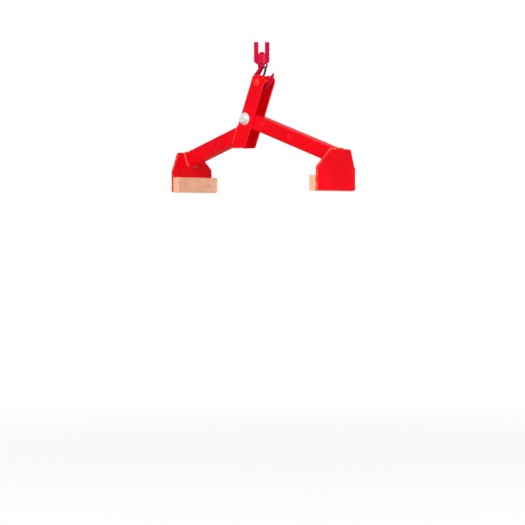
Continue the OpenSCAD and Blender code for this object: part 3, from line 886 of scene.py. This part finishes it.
class LIFTER_OT_pivot(LifterOperator, bpy.types.Operator):
    """Pivot bolt with a chamfered head and threaded end, its washers and its lock nut"""
    bl_idname = "lifter.pivot"
    bl_label = "Pivot"

    # Hexagons, bolt, thread, washers and the nut's collar, in millimetres
    flats, chamfer_h = 24.0, 1.6
    bolt_r, thread_start, thread_depth = 8.0, 22.0, 1.1
    washer_hole_r, washer_ease = 8.2, 0.5
    collar_r, collar_hole_r, collar_h = 10.9, 8.6, 4.5

    def hexed(self, name, start, end, chamfer_start, chamfer_end):
        """A hexagon whose corners are turned off at the ends that show."""
        bar = hex_bar(name, PIVOT, self.flats, start, end)
        corner, face = hex_radius(self.flats) + 0.2, self.flats / 2 * 0.95
        first = [(face, start), (corner, start + self.chamfer_h)] if chamfer_start else [(corner, start)]
        last = [(corner, end - self.chamfer_h), (face, end)] if chamfer_end else [(corner, end)]
        limit = turned(name + "_limit", PIVOT, "Y", [(0, start), *first, *last, (0, end)])
        cut(bar, limit, "INTERSECT")
        return bar

    def thread(self, start, end):
        """Crests and roots of the bolt's thread."""
        pitch, crest, root = sizes().thread_pitch / MM, self.bolt_r, self.bolt_r - self.thread_depth
        rows, d = [], start
        while d + pitch <= end:
            rows += [
                (r, d + share * pitch)
                for r, share in ((crest, 0.12), (root, 0.45), (root, 0.6), (crest, 0.93))]
            d += pitch
        return rows

    def finished(self, piece, node):
        dress(piece, "zinc_plate")
        round_edges(piece, sizes().hex_round)
        deliver(piece, "mast", "zinc", node, smooth=False)

    def bolt(self):
        head, tail = (corner.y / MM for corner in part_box("pivot_bolt"))
        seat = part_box("front_washer")[0].y / MM
        bolt = self.hexed("pivot_hex_bolt", head, seat, True, False)
        r, overlap, point_h = self.bolt_r, 2.0, 1.5
        bar = turned("pivot_bar", PIVOT, "Y", [
            (0, seat - overlap), (r, seat - overlap), (r, self.thread_start),
            *self.thread(self.thread_start, tail - point_h),
            (r, tail - point_h), (r - 1.3, tail), (0, tail)])
        cut(bolt, bar, "UNION")
        self.finished(bolt, "pivot_bolt")

    def washer(self, node, name):
        low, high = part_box(node)
        out_r, start, end = (high.x - low.x) / 2 / MM, low.y / MM, high.y / MM
        in_r, ease = self.washer_hole_r, self.washer_ease
        piece = turned(name, PIVOT, "Y", [
            (in_r, start + ease), (in_r + ease, start), (out_r - 2 * ease, start), (out_r - 0.3, start + 0.3),
            (out_r, start + 2 * ease), (out_r, end - ease), (out_r - ease, end), (in_r + ease, end),
            (in_r, end - ease)], closed=True)
        dress(piece, "zinc_plate")
        deliver(piece, "mast", "zinc", node)

    def nut(self):
        start, end = (corner.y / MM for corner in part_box("lock_nut"))
        hex_end, floor = end - self.collar_h, end - 1.6
        nut = self.hexed("pivot_lock_nut", start, hex_end, True, True)
        out_r, in_r, overlap = self.collar_r, self.collar_hole_r, 1.0
        collar = turned("nut_collar", PIVOT, "Y", [
            (0, hex_end - overlap), (out_r, hex_end - overlap), (out_r, end - 2.2), (out_r - 0.7, end - 0.8),
            (out_r - 1.5, end), (in_r, end - 0.3), (in_r, floor), (0, floor)])
        cut(nut, collar, "UNION")
        self.finished(nut, "lock_nut")

    def execute(self, context):
        self.bolt()
        self.washer("front_washer", "front_flat_washer")
        self.washer("rear_washer", "rear_flat_washer")
        self.nut()
        return {"FINISHED"}


class LIFTER_OT_pads(LifterOperator, bpy.types.Operator):
    """Moulded rubber pads and their socket screws"""
    bl_idname = "lifter.pads"
    bl_label = "Pads"

    # Screws, in millimetres: head, stem, socket, and the play and reach of the recess in the pad
    head_r, head_h, head_edge = 6.0, 3.4, 0.4
    stem_r = 3.0
    socket_r, socket_h = 2.3, 5.0
    play, recess_reach = 0.1, 14.0

    # Pads: hollow face, end of the section and rounding above and below, in millimetres, and half the sweep
    hollow_r, section_r = 281.0, 312.0
    upper_r, lower_r = 2.0, 8.0
    sweep, sweep_steps = math.radians(20), 36

    def seats(self, node, side):
        """Centres of the heads of a pad's screws."""
        low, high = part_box(node)
        x = low.x if side > 0 else high.x
        spread = high.y - self.head_r * MM
        return [Vector((x, y, (low.z + high.z) / 2)) for y in (-spread, spread)]

    def screws(self, node, name, side):
        low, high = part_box(node)
        length = (high.x - low.x) / MM
        profile = [
            (0, 0), (self.head_r - 0.5, 0), (self.head_r, self.head_edge), (self.stem_r, self.head_h),
            (self.stem_r, length - 0.8), (self.stem_r - 0.6, length), (0, length)]
        pair = []
        for seat in self.seats(node, side):
            screw = turned(name, seat, "X", [(r, side * d) for r, d in profile])
            bpy.ops.mesh.primitive_cylinder_add(
                vertices=6, radius=self.socket_r * MM, depth=self.socket_h * MM, location=seat,
                rotation=(0, QUARTER_TURN, 0))
            cut(screw, added("socket"), "DIFFERENCE")
            pair.append(screw)
        join(*pair)
        dress(pair[0], "zinc_plate")
        return pair[0]

    def pad(self, node, name, side):
        """The pad's section is spun round the lifter's middle and trimmed to the plate's width and face."""
        low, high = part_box(node)
        foot, top, half = low.z / MM, high.z / MM, high.y / MM
        back = max(abs(low.x), abs(high.x)) / MM
        section = [(self.section_r, foot), (self.section_r, top)]
        upper = self.upper_r, top - self.upper_r, 90, 5
        lower = self.lower_r, foot + self.lower_r, 180, 8
        for r, level, start, steps in (upper, lower):
            for k in range(steps + 1):
                angle = math.radians(start + 90 * k / steps)
                section.append((self.hollow_r + r + r * math.cos(angle), level + r * math.sin(angle)))
        across = Vector((side * math.cos(self.sweep), -side * math.sin(self.sweep), 0))
        points = [(across * r + Vector((0, 0, z))) * MM for r, z in section]
        piece = new_line(name, points, closed=True)
        with editing(piece):
            bpy.ops.mesh.spin(
                steps=self.sweep_steps, angle=-2 * self.sweep, center=(0, 0, 0), axis=(0, 0, 1),
                use_auto_merge=False)
        for way, distance in (((0, 1, 0), half), ((0, -1, 0), half), ((side, 0, 0), back)):
            with editing(piece):
                bpy.ops.mesh.bisect(
                    plane_co=Vector(way) * distance * MM, plane_no=way, use_fill=True, clear_outer=True)
        close_up(piece)
        face_out(piece)
        dress(piece, "cream_rubber")
        round_edges(piece, sizes().pad_round, 3)
        return piece

    def recess(self, pad, node, side):
        """Opens the pad over the heads of its screws."""
        wide, deep = self.head_r + self.play, self.head_h + self.play
        profile = [
            (0, -self.recess_reach), (wide, -self.recess_reach), (wide, self.head_edge + self.play),
            (self.stem_r + self.play, deep), (0, deep)]
        for seat in self.seats(node, side):
            cut(pad, turned("recess", seat, "X", [(r, side * d) for r, d in profile]), "DIFFERENCE")

    def execute(self, context):
        for side, start, body in ((-1, "fixed", "mast"), (1, "swing", "swing_arm")):
            pad = self.pad(start + "_jaw_pad", start + "_moulded_pad", side)
            self.recess(pad, start + "_pad_screws", side)
            deliver(pad, body, "pad_rubber", start + "_jaw_pad", smooth=False)
            screws = self.screws(start + "_pad_screws", start + "_socket_screws", side)
            deliver(screws, body, "zinc", start + "_pad_screws")
        return {"FINISHED"}


class LIFTER_OT_inner_parts(LifterOperator, bpy.types.Operator):
    """Finishes of the parts inside the barrel and the mast, which keep their solids"""
    bl_idname = "lifter.inner_parts"
    bl_label = "Inner parts"

    def execute(self, context):
        for name, nodes in (
            ("bearing_bronze", ("thrust_washer", "pivot_bush", "thrust_rings")),
            ("zinc_plate", ("swivel_nut", "nut_pin")),
            ("frame_enamel", ("pivot_sleeve", "heel_block")),
        ):
            for node in nodes:
                for place in NODES[node].material_slots:
                    place.material = bpy.data.materials[name]
        return {"FINISHED"}


class LIFTER_OT_stage(LifterOperator, bpy.types.Operator):
    """Pale floor, soft studio light and the camera"""
    bl_idname = "lifter.stage"
    bl_label = "Stage"

    def camera(self, stage, place):
        data = bpy.data.cameras.new("studio_camera")
        data.lens = stage.lens
        data.sensor_width = 36
        data.clip_end = 200
        camera = bpy.data.objects.new("studio_camera", data)
        camera.location = place
        camera.rotation_euler = (QUARTER_TURN - stage.camera_dip, 0, stage.camera_turn)
        bpy.context.scene.collection.objects.link(camera)
        bpy.context.scene.camera = camera

    def lamp(self, name, place, aim, size, power):
        data = bpy.data.lights.new(name, "AREA")
        data.shape = "DISK"
        data.size = size
        data.energy = power
        lamp = bpy.data.objects.new(name, data)
        lamp.location = place
        lamp.rotation_euler = (aim - place).to_track_quat("-Z", "Y").to_euler()
        bpy.context.scene.collection.objects.link(lamp)

    def floor(self, stage):
        """White to the camera, with a little shade near the middle, pale as light and dim in reflections."""
        f = Finish("pale_floor")
        glossy = f.ray("Glossy")
        pale = f.mix(f.noise(3.0, 4.0), (0.86, 0.86, 0.86), (0.9, 0.9, 0.9))
        lit = f.node("ShaderNodeBsdfDiffuse", None, {"Color": f.mix(glossy, pale, (0.15, 0.14, 0.14))})
        bright = f.node("ShaderNodeEmission", None, {"Color": (1, 1, 1, 1), "Strength": 1.0})
        spread = f.node("ShaderNodeVectorMath", {"operation": "LENGTH"}, {0: f.place}, output="Value")
        far_off = 0.75 + f.step(spread, 0.8, 3.0) * 0.25
        share = f.ray("Camera").larger(glossy * 0.15) * far_off
        f.feed(f.surface, f.node("ShaderNodeMixShader", None, {0: share, 1: lit, 2: bright}))
        bpy.ops.mesh.primitive_plane_add(size=stage.floor_size, location=(0, 0, stage.floor_height))
        floor = added("studio_floor")
        floor.data.materials.append(f.material)

    def sky(self, stage):
        """White where the camera sees it, softer in reflections and as light."""
        world = bpy.data.worlds.new("studio")
        world.use_nodes = True
        nodes = Nodes(world.node_tree)
        seen = nodes.ray("Camera")
        for kind in ("Glossy", "Transmission"):
            seen = seen.larger(nodes.ray(kind) * stage.mirrored)
        back = world.node_tree.nodes["Background"]
        nodes.feed(back.inputs["Color"], (1, 1, 1, 1))
        level = nodes.node("ShaderNodeMapRange", None, {"Value": seen, "To Min": stage.ambient})
        nodes.feed(back.inputs["Strength"], level)
        bpy.context.scene.world = world

    def execute(self, context):
        s = context.scene.lifter_stage
        towards = Vector((math.sin(s.camera_turn), -math.cos(s.camera_turn), 0))
        right = Vector((math.cos(s.camera_turn), math.sin(s.camera_turn), 0))
        up = Vector((0, 0, 1))
        self.camera(s, towards * s.camera_distance + right * s.camera_aside + up * s.camera_height)
        aim = Vector((0, 0, -0.25))
        for name, forward, aside, height, size, power in (
            ("key", 2.9, -2.0, 1.6, 2.2, 102),
            ("fill", 2.6, 2.4, 0.3, 2.2, 68),
            ("back", -3.0, -1.0, 1.8, 2.0, 34),
            ("left_glint", 1.6, -1.8, 1.5, 0.16, 6),
            ("right_glint", 1.8, 1.4, 1.3, 0.16, 6),
        ):
            self.lamp(name, towards * forward + right * aside + up * height, aim, size, power)
        self.floor(s)
        self.sky(s)
        context.scene.view_settings.view_transform = "Standard"
        return {"FINISHED"}


OPERATORS = (
    LIFTER_OT_finishes, LIFTER_OT_frame, LIFTER_OT_lifting_pin, LIFTER_OT_welds, LIFTER_OT_suspension,
    LIFTER_OT_latch, LIFTER_OT_pivot, LIFTER_OT_pads, LIFTER_OT_inner_parts, LIFTER_OT_stage,
)
GROUPS = (("lifter_sizes", LifterSizes), ("lifter_colours", LifterColours), ("lifter_stage", LifterStage))


class LIFTER_PT_panel(bpy.types.Panel):
    """Lists the lifter's pieces, sizes, colours and stage"""
    bl_idname = "LIFTER_PT_panel"
    bl_label = "Drum lifter"
    bl_space_type = "VIEW_3D"
    bl_region_type = "UI"
    bl_category = "Drum lifter"

    def draw(self, context):
        for operator in OPERATORS:
            self.layout.operator(operator.bl_idname)
        for attribute, group in GROUPS:
            column = self.layout.column()
            for name in group.__annotations__:
                column.prop(getattr(context.scene, attribute), name)


def register():
    for attribute, group in GROUPS:
        bpy.utils.register_class(group)
        setattr(bpy.types.Scene, attribute, PointerProperty(type=group))
    for operator in OPERATORS:
        bpy.utils.register_class(operator)
    bpy.utils.register_class(LIFTER_PT_panel)


def unregister():
    bpy.utils.unregister_class(LIFTER_PT_panel)
    for operator in reversed(OPERATORS):
        bpy.utils.unregister_class(operator)
    for attribute, group in reversed(GROUPS):
        delattr(bpy.types.Scene, attribute)
        bpy.utils.unregister_class(group)


def main():
    register()
    for operator in OPERATORS:
        space, name = operator.bl_idname.split(".")
        getattr(getattr(bpy.ops, space), name)()


if __name__ == "__main__":
    main()
